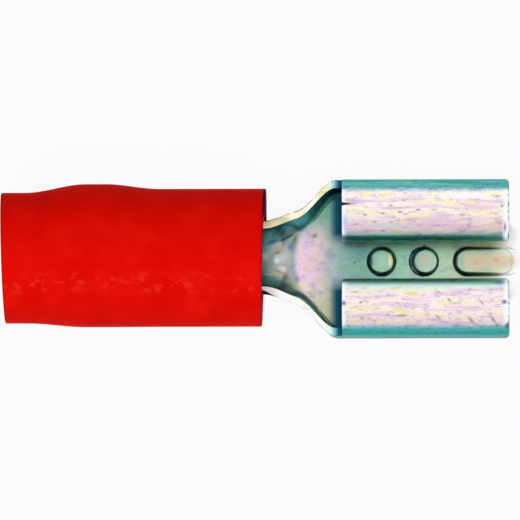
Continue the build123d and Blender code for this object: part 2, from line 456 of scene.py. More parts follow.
# How far the sheet is bent, shifted a little on the two sides and made uneven by the mottling. The
# side is 1 on the -Y half and -1 on the +Y half.
side_shift = 0.028
mottle_shift = 0.05
side = add_node(
    tree,
    "MapRange",
    {"Value": across_sheet, "From Min": -0.1, "From Max": 0.1, "To Min": 1, "To Max": -1},
).outputs["Result"]
shifted = add_node(
    tree, "Math", {0: side, 1: side_shift, 2: how_bent}, operation="MULTIPLY_ADD"
).outputs["Value"]
uneven = add_node(
    tree, "Math", {0: mottles, 1: mottle_shift, 2: shifted}, operation="MULTIPLY_ADD"
).outputs["Value"]

# Colour by the bend: 0.31 is the upright side wall, 0.62 the roll's level top and 1 its curled
# edge.
# It is painted reflection: teal bands where the rolls turn away and mirror dim surroundings, and
# white painted highlight on the level tops.
outside = add_node(
    tree,
    "ValToRGB",
    {"Fac": uneven},
    steps=[
        (0.300, "#8CB8B2"),
        (0.330, "#88DAD4"),
        (0.365, "#66C8C4"),
        (0.430, "#3EAAA8"),
        (0.485, "#4CB0B2"),
        (0.505, "#7FBEC8"),
        (0.525, "#C4DAE8"),
        (0.545, "#FFFFFF"),
        (0.620, "#FFFCFB"),
        (0.700, "#FAF4F8"),
        (0.760, "#F8F6F8"),
        (0.785, "#DCFCF4"),
        (0.830, "#8CFAEC"),
        (0.880, "#7CFAEC"),
        (0.930, "#94FCF0"),
        (1.000, "#C0FCF6"),
    ],
).outputs["Color"]

# Pale streaks run through the green bands, most of all on the +Y roll
pale_streaks = add_node(
    tree,
    "MapRange",
    {"Value": streaks, "From Min": 0.40, "From Max": 0.62, "To Min": 0.05, "To Max": 0.75},
).outputs["Result"]
left_side = add_node(
    tree, "MapRange", {"Value": side, "From Min": 1, "From Max": -1, "To Min": 0.15, "To Max": 0.85}
).outputs["Result"]
pale_streaks = add_node(
    tree, "Math", {0: pale_streaks, 1: left_side}, operation="MULTIPLY"
).outputs["Value"]
pale_streaks = add_node(
    tree, "MapRange", {"Value": uneven, "From Min": 0.50, "From Max": 0.46, "To Max": pale_streaks}
).outputs["Result"]
outside = add_node(
    tree, "Mix", {"Factor": pale_streaks, "A": outside, "B": linear("#98D0CC")}, data_type="RGBA"
).outputs["Result"]

# Streaks on the rolls' tops, mottling all over, and clouds of 0.6 by 0.45 mm on the floor
streak_tint = add_node(
    tree,
    "ValToRGB",
    {"Fac": streaks},
    steps=[
        (0.30, "#DDD0F0"),
        (0.38, "#F0DCEE"),
        (0.45, "#FFF0F4"),
        (0.52, "#FFFFFE"),
        (0.58, "#FFFAD6"),
        (0.65, "#FFEDE4"),
        (0.75, "#E8E0F2"),
    ],
).outputs["Color"]
mottle_tint = add_node(
    tree,
    "ValToRGB",
    {"Fac": mottles},
    steps=[(0.30, "#B4B4C6"), (0.41, "#E8E0EA"), (0.50, "#FFFFFF"), (0.66, "#FFF6DC")],
).outputs["Color"]
cloud_space = add_node(
    tree, "Mapping", {"Vector": sheet_place, "Scale": (1.6, 2.2, 1)}
).outputs["Vector"]
floor_clouds = add_node(
    tree, "TexNoise", {"Vector": cloud_space, "Scale": 1.0, "Detail": 4, "Roughness": 0.65}
).outputs["Fac"]
floor_tint = add_node(
    tree,
    "ValToRGB",
    {"Fac": floor_clouds},
    steps=[
        (0.34, "#D2E4DA"),
        (0.43, "#F4E8F8"),
        (0.51, "#FFFFFF"),
        (0.59, "#FFF4DC"),
        (0.68, "#ECF0F8"),
    ],
).outputs["Color"]
on_top = add_node(
    tree, "MapRange", {"Value": uneven, "From Min": 0.50, "From Max": 0.55}
).outputs["Result"]
streaked = add_node(
    tree,
    "Mix",
    {"Factor": on_top, "A": outside, "B": streak_tint},
    data_type="RGBA",
    blend_type="MULTIPLY",
).outputs["Result"]
mottled = add_node(
    tree,
    "Mix",
    {"Factor": 1.0, "A": streaked, "B": mottle_tint},
    data_type="RGBA",
    blend_type="MULTIPLY",
).outputs["Result"]

# The -Y roll is painted paler than the other where it turns down to the slot: a painted reflection
# of the brighter surroundings on that side
turned_down = add_node(
    tree,
    "MapRange",
    {"Value": uneven, "From Min": 0.76, "From Max": 0.81, "To Min": 0, "To Max": 0.75},
).outputs["Result"]
paler = add_node(
    tree, "Math", {0: turned_down, 1: side}, operation="MULTIPLY", use_clamp=True
).outputs["Value"]
mottled = add_node(
    tree, "Mix", {"Factor": paler, "A": mottled, "B": linear("#F2FEFA")}, data_type="RGBA"
).outputs["Result"]

# Each roll is painted a little darker towards its -Y side: painted shade, where it mirrors dimmer
# surroundings
top_bend = 0.64
side_shading = add_node(tree, "Math", {0: top_bend, 1: uneven}, operation="SUBTRACT").outputs["Value"]
side_shading = add_node(tree, "Math", {0: side_shading, 1: side}, operation="MULTIPLY").outputs["Value"]
side_shade_share = add_node(
    tree,
    "MapRange",
    {"Value": side_shading, "From Min": -0.03, "From Max": 0.12, "To Min": 0, "To Max": 0.9},
).outputs["Result"]
side_shade_share = add_node(
    tree, "Math", {0: side_shade_share, 1: on_top}, operation="MULTIPLY"
).outputs["Value"]
mottled = add_node(
    tree,
    "Mix",
    {"Factor": side_shade_share, "A": mottled, "B": linear("#DCCCD8")},
    data_type="RGBA",
    blend_type="MULTIPLY",
).outputs["Result"]

# Both ends of a roll are painted nearly white: a painted highlight where their rounded ends catch
# the light
roll_share = add_node(
    tree, "MapRange", {"Value": along_sheet, "From Min": roll_rear, "From Max": roll_front}
).outputs["Result"]
near_end = add_node(
    tree,
    "ValToRGB",
    {"Fac": roll_share},
    steps=[
        (0.0, "#FFFFFF"),
        (0.008, "#FFFFFF"),
        (0.030, "#000000"),
        (0.955, "#000000"),
        (0.98, "#FFFFFF"),
    ],
).outputs["Color"]
near_end = add_node(tree, "SeparateColor", {"Color": near_end}).outputs["Red"]
end_highlight_share = add_node(tree, "Math", {0: near_end, 1: on_top}, operation="MULTIPLY").outputs["Value"]
rolls = add_node(
    tree, "Mix", {"Factor": end_highlight_share, "A": mottled, "B": linear("#FBFCFF")}, data_type="RGBA"
).outputs["Result"]

# The floor's colour along the sheet is painted light and shade: dark in the channel, a pink painted
# highlight on the neck, then a darker green of painted shade and reflection between the rolls, and
# white at the mouth and lip beyond their shadow. On the neck the borders of its colours bow towards
# the mouth at the sides.
bow = add_node(
    tree,
    "MapRange",
    {"Value": along_sheet, "From Min": 11.6, "From Max": 12.8, "To Min": -0.20, "To Max": 0},
).outputs["Result"]
bowed = add_node(
    tree, "Math", {0: across_sheet, 1: across_sheet}, operation="MULTIPLY"
).outputs["Value"]
bowed = add_node(
    tree, "Math", {0: bowed, 1: bow, 2: along_sheet}, operation="MULTIPLY_ADD"
).outputs["Value"]
floor_share = add_node(
    tree, "MapRange", {"Value": bowed, "From Min": barrel_front, "From Max": lip_front}
).outputs["Result"]
floor_light_and_shade = add_node(
    tree,
    "ValToRGB",
    {"Fac": floor_share},
    steps=[
        (0.03, "#5F8C8C"),
        (0.09, "#A6B8B4"),
        (0.135, "#B8BEBA"),
        (0.156, "#9CB4B0"),
        (0.175, "#EED6EE"),
        (0.205, "#EED6E6"),
        (0.25, "#DECED4"),
        (0.29, "#BCC2C6"),
        (0.33, "#94BABA"),
        (0.40, "#82B4A6"),
        (0.56, "#9CCDB4"),
        (0.72, "#B4D6BC"),
        (0.88, "#BECCAA"),
        (0.93, "#F6F2E8"),
        (0.95, "#FFFFFF"),
    ],
).outputs["Color"]

# The floor's sides get painted light and shade: darker beside the +Y roll, lighter beside the -Y
# roll, and paler still where the rolls cover them, so that the rolls' inner faces mirror a brighter
# floor
off_middle = add_node(tree, "Math", {0: across_sheet}, operation="ABSOLUTE").outputs["Value"]
neck_side = add_node(
    tree, "MapRange", {"Value": off_middle, "From Min": 0.7, "From Max": 1.7}
).outputs["Result"]
not_lip = add_node(
    tree,
    "MapRange",
    {
        "Value": along_sheet,
        "From Min": roll_front - 1.2,
        "From Max": roll_front - 0.3,
        "To Min": 1,
        "To Max": 0,
    },
).outputs["Result"]
neck_side = add_node(
    tree, "Math", {0: neck_side, 1: not_lip}, operation="MULTIPLY"
).outputs["Value"]
floor_side_light_and_shade = add_node(
    tree, "Mix", {"Factor": side, "A": linear("#80BAA8"), "B": linear("#C8CEB0")}, data_type="RGBA"
).outputs["Result"]
covered = add_node(
    tree, "MapRange", {"Value": along_sheet, "From Min": roll_rear, "From Max": roll_rear + 0.5}
).outputs["Result"]
floor_side_light_and_shade = add_node(
    tree, "Mix", {"Factor": covered, "A": floor_side_light_and_shade, "B": linear("#E4FAF4")}, data_type="RGBA"
).outputs["Result"]
neck_floor = add_node(
    tree, "Mix", {"Factor": neck_side, "A": floor_light_and_shade, "B": floor_side_light_and_shade}, data_type="RGBA"
).outputs["Result"]

# The flat side walls are greyer than the bends above them
on_wall = add_node(
    tree,
    "MapRange",
    {"Value": how_bent, "From Min": 0.315, "From Max": 0.350, "To Min": 0.45, "To Max": 0},
).outputs["Result"]
rolls = add_node(
    tree, "Mix", {"Factor": on_wall, "A": rolls, "B": linear("#98B4B2")}, data_type="RGBA"
).outputs["Result"]
on_floor = add_node(
    tree,
    "MapRange",
    {"Value": how_bent, "From Min": 0.12, "From Max": 0.26, "To Min": 1, "To Max": 0},
).outputs["Result"]
mottled_floor = add_node(
    tree,
    "Mix",
    {"Factor": not_lip, "A": neck_floor, "B": floor_tint},
    data_type="RGBA",
    blend_type="MULTIPLY",
).outputs["Result"]
skin = add_node(
    tree, "Mix", {"Factor": on_floor, "A": rolls, "B": mottled_floor}, data_type="RGBA"
).outputs["Result"]

# Painted shade on the inner faces of the wings, then painted shade on the floor's upper face behind
# the rolls' rear ends
wing_inner_shade = add_node(
    tree,
    "ValToRGB",
    {"Fac": floor_share},
    steps=[
        (0.05, "#7CCCD2"),
        (0.15, "#84D2DA"),
        (0.24, "#2C80B6"),
        (0.325, "#1C5096"),
        (0.40, "#ECFCF8"),
    ],
).outputs["Color"]
bent_inside = add_node(
    tree, "MapRange", {"Value": how_bent, "From Min": 0.17, "From Max": 0.26}
).outputs["Result"]
wing_shade_share = add_node(
    tree, "Math", {0: bent_inside, 1: inner_face}, operation="MULTIPLY"
).outputs["Value"]
skin = add_node(
    tree, "Mix", {"Factor": wing_shade_share, "A": skin, "B": wing_inner_shade}, data_type="RGBA"
).outputs["Result"]
by_roll = add_node(
    tree,
    "MapRange",
    {"Value": along_sheet, "From Min": roll_rear - 0.9, "From Max": roll_rear + 0.6},
).outputs["Result"]
nearing_roll = add_node(
    tree,
    "ValToRGB",
    {"Fac": by_roll},
    steps=[
        (0.10, "#000000"),
        (0.26, "#808080"),
        (0.36, "#E4E4E4"),
        (0.44, "#FFFFFF"),
        (0.62, "#FFFFFF"),
        (1.0, "#000000"),
    ],
).outputs["Color"]
shade_colour = add_node(
    tree,
    "ValToRGB",
    {"Fac": by_roll},
    steps=[(0.20, "#4E8484"), (0.38, "#1C5C6E"), (0.60, "#123E56")],
).outputs["Color"]
under_roll = add_node(
    tree, "MapRange", {"Value": off_middle, "From Min": 0.62, "From Max": 1.10}
).outputs["Result"]
nearing_roll = add_node(tree, "SeparateColor", {"Color": nearing_roll}).outputs["Red"]
floor_shade = nearing_roll
for limit in (under_roll, not_lip, on_floor, inner_face):
    floor_shade = add_node(
        tree, "Math", {0: floor_shade, 1: limit}, operation="MULTIPLY"
    ).outputs["Value"]
skin = add_node(
    tree, "Mix", {"Factor": floor_shade, "A": skin, "B": shade_colour}, data_type="RGBA"
).outputs["Result"]

# Painted shade on the steep edges of the pressed marks, which mirror the dark undersides of the
# rolls
ring_shade_share = add_node(
    tree, "MapRange", {"Value": how_steep, "From Min": 0.30, "From Max": 1.05}
).outputs["Result"]
skin = add_node(
    tree, "Mix", {"Factor": ring_shade_share, "A": skin, "B": linear("#0E2A3C")}, data_type="RGBA"
).outputs["Result"]

# The second bump was struck twice, so its edge is doubled at the rear. It is drawn as three thin
# arcs: two dark ones of painted shade with a pale one between them
arcs = (
    # radius, half width, colour
    (0.395, 0.080, "#0E2A3C"),
    (0.492, 0.032, "#B4DCD0"),
    (0.548, 0.022, "#15384A"),
)
from_bump = add_node(
    tree, "VectorMath", {0: sheet_place, 1: (second_bump, 0, 0)}, operation="DISTANCE"
).outputs["Value"]
bump_rear = add_node(
    tree,
    "MapRange",
    {"Value": along_sheet, "From Min": second_bump - 0.16, "From Max": second_bump - 0.32},
).outputs["Result"]
for radius, half_width, colour in arcs:
    off_arc = add_node(
        tree, "Math", {0: from_bump, 1: radius}, operation="SUBTRACT"
    ).outputs["Value"]
    off_arc = add_node(tree, "Math", {0: off_arc}, operation="ABSOLUTE").outputs["Value"]
    arc_share = add_node(
        tree,
        "MapRange",
        {"Value": off_arc, "From Min": 1.3 * half_width, "From Max": 0.6 * half_width},
    ).outputs["Result"]
    arc_share = add_node(
        tree, "Math", {0: arc_share, 1: bump_rear}, operation="MULTIPLY"
    ).outputs["Value"]
    skin = add_node(
        tree, "Mix", {"Factor": arc_share, "A": skin, "B": linear(colour)}, data_type="RGBA"
    ).outputs["Result"]

# A broken dark line along the mouth, where the plating is worn through
at_mouth = add_node(
    tree,
    "MapRange",
    {"Value": along_sheet, "From Min": roll_front - 0.07, "From Max": roll_front - 0.03},
).outputs["Result"]
worn = add_node(
    tree, "MapRange", {"Value": mottles, "From Min": 0.54, "From Max": 0.46}
).outputs["Result"]
mouth_line = at_mouth
for limit in (worn, on_top):
    mouth_line = add_node(
        tree, "Math", {0: mouth_line, 1: limit}, operation="MULTIPLY"
    ).outputs["Value"]
skin = add_node(
    tree, "Mix", {"Factor": mouth_line, "A": skin, "B": linear("#5C8484")}, data_type="RGBA"
).outputs["Result"]

# Small soft ovals laid over the skin. Some are stains and tool marks; others are painted light: the
# bright crescents and dark rear edges of the pressed marks, dark painted shade where the wings run
# under the rolls and in the neck, and white painted highlights on the rolls. Those on the floor and
# the neck are on the upper face only.
oval_reach = 1.4
stains_and_painted_light = (
    # along the sheet, across it, half length, half width, turn in degrees, colour
    (14.25, 0.00, 0.42, 0.42, 0, "#A6CEBA"),
    (14.57, 0.02, 0.07, 0.28, 0, "#F0EE88"),
    (13.86, 0.00, 0.07, 0.25, 0, "#1A4252"),
    (14.02, 0.00, 0.08, 0.28, 0, "#8CBCB8"),
    (15.90, 0.00, 0.40, 0.40, 0, "#B8CCBA"),
    (15.88, 0.00, 0.16, 0.24, 0, "#C9BCA2"),
    (15.62, 0.00, 0.07, 0.28, 0, "#94C2B6"),
    (15.45, 0.37, 0.09, 0.07, 0, "#2440B0"),
    (15.87, 0.61, 0.07, 0.045, 0, "#1A3048"),
    (13.23, -0.02, 0.06, 0.05, 0, "#5C8484"),
    (17.95, 0.00, 0.95, 0.42, 0, "#CCCCAC"),
    (17.90, -0.03, 0.55, 0.22, 0, "#DAC2A4"),
    (17.06, 0.00, 0.09, 0.32, 0, "#1C4858"),
    (17.28, 0.00, 0.11, 0.36, 0, "#9CC4B0"),
    (17.82, -0.05, 0.10, 0.10, 0, "#E0ACA0"),
    (18.85, 0.00, 0.52, 0.40, 0, "#D6D2B2"),
    (18.70, -0.04, 0.50, 0.20, 0, "#DCC6A8"),
    (18.57, 0.05, 0.12, 0.12, 0, "#E0ACA0"),
    (19.14, 0.03, 0.08, 0.20, 0, "#DDB6A6"),
    (19.05, 0.51, 0.26, 0.035, 0, "#94C4B8"),
    (19.05, -0.51, 0.26, 0.035, 0, "#94C4B8"),
    (12.94, 5.435, 0.20, 0.045, 0, "#20285A"),
    (17.40, 5.13, 0.50, 0.11, 0, "#FFFFFF"),
    (17.60, 5.36, 0.26, 0.05, 0, "#F4EA94"),
    (13.65, 5.10, 0.24, 0.08, 0, "#FBF3B4"),
    (15.45, 4.97, 0.30, 0.07, 0, "#C6DEF6"),
    (15.80, 5.83, 0.18, 0.09, 0, "#F6EEB0"),
    (16.35, 6.03, 0.55, 0.16, 0, "#DCC8DC"),
    (17.95, 5.56, 0.70, 0.12, 0, "#F6CADF"),
    (14.50, 6.22, 0.80, 0.08, 0, "#D0D0D0"),
    (14.61, 5.50, 0.09, 0.035, 0, "#8E84A8"),
    (13.65, 5.85, 0.08, 0.035, 0, "#A193B4"),
    (14.30, 5.80, 0.09, 0.035, 0, "#94869E"),
    (13.28, 6.15, 0.09, 0.045, 0, "#A7A3BE"),
    (14.00, 6.07, 0.09, 0.045, 0, "#B1A8C2"),
    (14.62, 6.07, 0.10, 0.045, 0, "#AFA6BE"),
    (14.95, 5.75, 0.09, 0.035, 0, "#8A7D98"),
    (15.64, 5.66, 0.09, 0.035, 0, "#8D7F9C"),
    (16.25, 5.66, 0.11, 0.030, 0, "#C0A8BE"),
    (15.34, 6.00, 0.20, 0.060, 0, "#BDB8C8"),
    (17.30, 5.85, 0.16, 0.045, 0, "#BBA8DC"),
    (18.79, 5.52, 0.06, 0.060, 0, "#8E9CA4"),
    (16.09, 4.92, 0.08, 0.030, 0, "#3E5C74"),
    (17.13, 4.92, 0.07, 0.025, 0, "#8A6C9A"),
    (17.59, 4.92, 0.07, 0.025, 0, "#7C6A8C"),
    (18.90, 6.26, 0.05, 0.16, 0, "#7A62C0"),
    (12.90, 6.10, 0.10, 0.28, 0, "#BFC4F4"),
    (13.48, -5.53, 0.08, 0.045, -20, "#9A8AA2"),
    (13.52, -4.99, 0.09, 0.050, 0, "#B8A2B0"),
    (13.99, -4.90, 0.08, 0.040, 0, "#B49AB0"),
    (16.80, -5.61, 0.10, 0.040, 35, "#A4847E"),
    (18.02, -5.51, 0.13, 0.045, 45, "#C08CB0"),
    (18.87, -5.54, 0.10, 0.085, 0, "#4A3492"),
    (16.37, -5.02, 0.12, 0.045, 40, "#A58C9C"),
    (17.61, -4.93, 0.16, 0.055, 50, "#AC8C94"),
    (18.45, -4.93, 0.17, 0.055, 50, "#A8848E"),
    (18.98, -4.71, 0.10, 0.12, 0, "#3A4668"),
    (18.72, -6.30, 0.22, 0.12, 0, "#8CA8D8"),
    (16.95, -6.35, 0.12, 0.06, 0, "#8CC480"),
    (12.84, -5.50, 0.08, 0.10, 0, "#3E4FC0"),
    (15.37, -5.83, 0.22, 0.060, 0, "#E8DC80"),
    (14.90, -5.27, 0.24, 0.070, 0, "#EFE08A"),
    (15.03, -5.08, 0.20, 0.040, 0, "#A89C58"),
    (11.72, 1.00, 0.10, 0.085, 20, "#A07C5C"),
    (10.52, -0.30, 0.16, 0.110, -30, "#E2DAD0"),
    (10.34, -0.44, 0.20, 0.060, -25, "#A8886E"),
    (10.55, -0.62, 0.30, 0.090, -15, "#C4B084"),
    (10.36, 0.50, 0.24, 0.170, 10, "#A89C88"),
    (10.48, 0.12, 0.26, 0.220, 0, "#BFC8CC"),
    (10.14, 0.86, 0.28, 0.120, 25, "#2E5C80"),
    (10.62, 0.98, 0.30, 0.070, 25, "#24487C"),
    (10.32, 0.36, 0.12, 0.060, 10, "#7E6670"),
    (10.28, 0.02, 0.10, 0.110, 0, "#ECEAEE"),
    (10.70, -0.10, 0.10, 0.200, 10, "#B4AEAE"),
    (9.86, 0.20, 0.14, 0.160, 0, "#A8C8BA"),
    (10.05, -0.62, 0.26, 0.070, 0, "#D0BC88"),
    (10.80, 0.56, 0.13, 0.180, 30, "#7888AE"),
    (11.05, -0.66, 0.10, 0.130, 0, "#9A88B0"),
    (11.40, -0.98, 0.30, 0.090, -25, "#E8E6B8"),
)
for along, across, half_length, half_width, turn, colour in stains_and_painted_light:
    around = add_node(
        tree,
        "Mapping",
        {
            "Vector": sheet_place,
            "Location": (along, across, 0),
            "Rotation": (0, 0, radians(turn)),
            "Scale": (oval_reach * half_length, oval_reach * half_width, 1),
        },
        vector_type="TEXTURE",
    ).outputs["Vector"]
    inside = add_node(
        tree, "TexGradient", {"Vector": around}, gradient_type="SPHERICAL"
    ).outputs["Fac"]
    share = add_node(
        tree, "MapRange", {"Value": inside, "From Max": 0.75, "To Max": 0.85}
    ).outputs["Result"]
    if abs(across) < floor_run:
        share = add_node(
            tree, "Math", {0: share, 1: inner_face}, operation="MULTIPLY"
        ).outputs["Value"]
    skin = add_node(
        tree, "Mix", {"Factor": share, "A": skin, "B": linear(colour)}, data_type="RGBA"
    ).outputs["Result"]

# The rolling streaks also stand out a little, by under 0.02 mm
grain = add_node(
    tree, "Bump", {"Height": streaks, "Strength": 0.15, "Distance": 0.00002}
).outputs["Normal"]
shader = add_node(
    tree,
    "BsdfPrincipled",
    {
        "Base Color": skin,
        "Metallic": 1.0,
        "Roughness": 0.3,
        "Specular Tint": linear("#A0C8C8"),
        "Normal": grain,
    },
).outputs["BSDF"]
add_node(tree, "OutputMaterial", {"Surface": shader})

# The blank's cut edges are bare brass, sheared and slightly burred: bright, in cream-yellow patches
# about 0.9 mm long (1100 to the metre). Towards the rolls' rear ends they turn to a teal painted
# highlight and then to painted shade, where the wings run under the rolls.
bare_edge = bpy.data.materials.new("bare_sheared_brass_edge")
tree = start_nodes(bare_edge)
spot = add_node(tree, "TexCoord").outputs["Object"]
patches = add_node(tree, "TexNoise", {"Vector": spot, "Scale": 1100.0, "Detail": 3}).outputs["Fac"]
brass = add_node(
    tree,
    "ValToRGB",
    {"Fac": patches},
    steps=[(0.36, "#D9D6B0"), (0.45, "#FFF4C4"), (0.55, "#FFFCEE"), (0.68, "#FFFFFF")],
).outputs["Color"]
edge_place = add_node(tree, "Attribute", attribute_name="sheet_place").outputs["Vector"]
along_edge, across_edge, _ = add_node(tree, "SeparateXYZ", {"Vector": edge_place}).outputs
wing_end = add_node(
    tree, "MapRange", {"Value": along_edge, "From Min": roll_rear - 0.7, "From Max": roll_rear}
).outputs["Result"]
wing_end_highlight_and_shade = add_node(
    tree,
    "ValToRGB",
    {"Fac": wing_end},
    steps=[
        (0.0, "#FFFFFF"),
        (0.38, "#E4FAF6"),
        (0.58, "#86CCD2"),
        (0.78, "#22648A"),
        (1.0, "#164A6A"),
    ],
).outputs["Color"]
behind_mouth = add_node(
    tree,
    "MapRange",
    {
        "Value": along_edge,
        "From Min": roll_rear + 0.2,
        "From Max": roll_rear + 0.4,
        "To Min": 1,
        "To Max": 0,
    },
).outputs["Result"]
edge_side = add_node(
    tree, "MapRange", {"Value": across_edge, "From Min": 0.1, "From Max": -0.1}
).outputs["Result"]
# The edges on the -Y side, which faces the lamp, are painted paler as a highlight
lit_side_share = add_node(tree, "Math", {0: edge_side, 1: 0.75}, operation="MULTIPLY").outputs["Value"]
brass_with_side_highlight = add_node(
    tree, "Mix", {"Factor": lit_side_share, "A": brass, "B": linear("#FFFFFF")}, data_type="RGBA"
).outputs["Result"]

# A dark sliver of painted shadow shows on the -Y wing's edge where it leaves the sleeve, ending on
# a slant
sliver_end = 10.28
edge_bent = add_node(tree, "Attribute", attribute_name="sheet_bent").outputs["Vector"]
through_edge = add_node(tree, "SeparateXYZ", {"Vector": edge_bent}).outputs["Y"]
sliver = add_node(
    tree, "Math", {0: through_edge, 1: 0.8, 2: along_edge}, operation="MULTIPLY_ADD"
).outputs["Value"]
sliver_shadow_share = add_node(
    tree, "MapRange", {"Value": sliver, "From Min": sliver_end, "From Max": sliver_end - 0.10}
).outputs["Result"]
sliver_shadow_share = add_node(
    tree, "Math", {0: sliver_shadow_share, 1: edge_side}, operation="MULTIPLY"
).outputs["Value"]
brass_with_side_highlight = add_node(
    tree, "Mix", {"Factor": sliver_shadow_share, "A": brass_with_side_highlight, "B": linear("#101C1C")}, data_type="RGBA"
).outputs["Result"]

# A thin dark line runs along the outer edge, broken into dashes of about 0.3 mm; it is painted
# fainter on the -Y side, which faces the lamp
dash_space = add_node(
    tree, "Mapping", {"Vector": edge_place, "Scale": (3.2, 0.2, 1)}
).outputs["Vector"]
dashes = add_node(
    tree, "TexNoise", {"Vector": dash_space, "Scale": 1.0, "Detail": 3, "Roughness": 0.7}
).outputs["Fac"]
dashed = add_node(
    tree, "MapRange", {"Value": dashes, "From Min": 0.44, "From Max": 0.54}
).outputs["Result"]
outer_line = add_node(
    tree, "MapRange", {"Value": through_edge, "From Min": 0.20, "From Max": 0.06}
).outputs["Result"]
fainter = add_node(
    tree, "MapRange", {"Value": edge_side, "To Min": 0.85, "To Max": 0.45}
).outputs["Result"]
outline = dashed
for limit in (outer_line, fainter):
    outline = add_node(tree, "Math", {0: outline, 1: limit}, operation="MULTIPLY").outputs["Value"]
brass_with_side_highlight = add_node(
    tree, "Mix", {"Factor": outline, "A": brass_with_side_highlight, "B": linear("#39463A")}, data_type="RGBA"
).outputs["Result"]
edge_colour = add_node(
    tree,
    "Mix",
    {"Factor": behind_mouth, "A": brass_with_side_highlight, "B": wing_end_highlight_and_shade},
    data_type="RGBA",
    blend_type="MULTIPLY",
).outputs["Result"]
shader = add_node(
    tree, "BsdfPrincipled", {"Base Color": edge_colour, "Metallic": 1.0, "Roughness": 0.4}
).outputs["BSDF"]
add_node(tree, "OutputMaterial", {"Surface": shader})

finish_piece(
    blank,
    "spade_terminal_body",
    smooth_angle=radians(35),
    materials=(tin, bare_edge),
    node="terminal_body",
)


# Grip sleeve. A short thin tube of tinned copper pressed over the wire barrel; its rear end is
# flared to take the wire's insulation. Only its front rim shows, just inside the vinyl.
grip_wall = 0.35
grip_front = 9.49
grip_rear = 3.74
flare_length = 1.20
flare_rise = 0.125
fit_clearance = 0.02
rim_round = 0.04
grip_bore = barrel_radius + fit_clearance
grip_radius = grip_bore + grip_wall


def turned(profile, steps):
    """Closed ring spun round X from the (place, radius) corners of its section."""
    shape = bmesh.new()
    corners = [shape.verts.new((place, 0, radius)) for place, radius in profile]
    edges = [shape.edges.new(pair) for pair in zip(corners, corners[1:] + corners[:1])]
    bmesh.ops.spin(
        shape,
        geom=corners + edges,
        cent=(0, 0, 0),
        axis=(1, 0, 0),
        angle=2 * pi,
        steps=steps,
        use_merge=True,
    )
    bmesh.ops.remove_doubles(shape, verts=shape.verts[:], dist=0.0005)
    bmesh.ops.recalc_face_normals(shape, faces=shape.faces[:])
    return shape


grip = turned(
    [
        (grip_rear, grip_bore + flare_rise),
        (grip_rear, grip_radius + flare_rise),
        (grip_rear + flare_length, grip_radius),
        (grip_front, grip_radius),
        (grip_front, grip_bore),
        (grip_rear + flare_length, grip_bore),
    ],
    steps=96,
)
round_edges(grip, rim_round, segments=2)

# Tinned drawn copper: greyer and duller than the terminal, with faint clouds in the tin about
# 1.1 mm across (900 to the metre).
copper = bpy.data.materials.new("tinned_drawn_copper")
tree = start_nodes(copper)
spot = add_node(tree, "TexCoord").outputs["Object"]
clouds = add_node(tree, "TexNoise", {"Vector": spot, "Scale": 900.0, "Detail": 3}).outputs["Fac"]
dull = add_node(
    tree, "ValToRGB", {"Fac": clouds}, steps=[(0.35, "#9DA39E"), (0.65, "#C9CBC6")]
).outputs["Color"]
shader = add_node(
    tree, "BsdfPrincipled", {"Base Color": dull, "Metallic": 1.0, "Roughness": 0.38}
).outputs["BSDF"]
add_node(tree, "OutputMaterial", {"Surface": shader})
finish_piece(
    grip,
    "grip_sleeve_tube",
    smooth_angle=radians(35),
    materials=(copper,),
    node="grip_sleeve",
)


# Insulating sleeve. Soft red vinyl, cut from extruded tube and pushed over the grip sleeve, whose
# flare swells it behind the middle. Its ends are cut a little out of square.
vinyl_length = 9.79
vinyl_wall = 0.81
vinyl_rear_radius = 2.465
vinyl_rear_bore = 1.65
seat_ramp = 0.35
seat_radius = grip_radius + fit_clearance
flare_seat_radius = grip_radius + flare_rise + fit_clearance
vinyl_front_radius = seat_radius + vinyl_wall
hump_thinning = 0.03
hump_radius = flare_seat_radius + vinyl_wall - hump_thinning
hump_shift = 0.09
hump_flat_rear = 0.65
hump_flat_front = 0.15
hump_start = grip_rear - hump_flat_rear
hump_end = grip_rear + hump_flat_front
hump_rear_ramp = 2.20
hump_front_ramp = 2.00
rear_slant = radians(1.8)
rear_slant_run = 3.0
front_slant = radians(1.1)
front_slant_start = 6.5
vinyl_edge = 0.05
burr_length = 0.07
burr_depth = 0.15


def vinyl_swell(x):
    """How far the vinyl has risen to its hump and fallen from it, as two shares."""
    rise = ease(x, hump_start - hump_rear_ramp, hump_start)
    return rise, ease(x, hump_end, hump_end + hump_front_ramp)


def vinyl_outside(x):
    """Outside radius of the vinyl at one place along it."""
    rise, fall = vinyl_swell(x)
    radius = vinyl_rear_radius + (hump_radius - vinyl_rear_radius) * rise
    return radius - (hump_radius - vinyl_front_radius) * fall


profile = [(0, vinyl_rear_bore), (0, vinyl_rear_radius)]
profile += [(x, vinyl_outside(x)) for x in evenly(0, vinyl_length, 60)]
profile += [(vinyl_length, seat_radius)]
profile += [(grip_rear + flare_length, seat_radius), (grip_rear, flare_seat_radius)]
profile += [(grip_rear - seat_ramp, vinyl_rear_bore)]
vinyl = turned(profile, steps=128)
round_edges(vinyl, vinyl_edge, segments=4)

# Each vertex keeps its place on the straight sleeve. Then the outside shifts sideways at the hump,
# the ends slant, and a thin burr stands out at the left of the front edge.
sleeve_layer = vinyl.verts.layers.float_vector.new("sleeve_place")
for vertex in vinyl.verts:
    x, y, z = vertex.co
    vertex[sleeve_layer] = (x, y, z)
    rise, fall = vinyl_swell(x)
    outer = ease(hypot(y, z), seat_radius + 0.2, seat_radius + 0.5)
    vertex.co.y += hump_shift * (rise - fall) * outer
    rear_lean = -y * tan(rear_slant) * (1 - ease(x, 0, rear_slant_run))
    front_lean = y * tan(front_slant) * ease(x, front_slant_start, vinyl_length)
    at_edge = ease(x, vinyl_length - burr_depth, vinyl_length - vinyl_edge)
    burr = burr_length * ease(y, 1.0, 1.5) * at_edge
    vertex.co.x += rear_lean + front_lean + burr

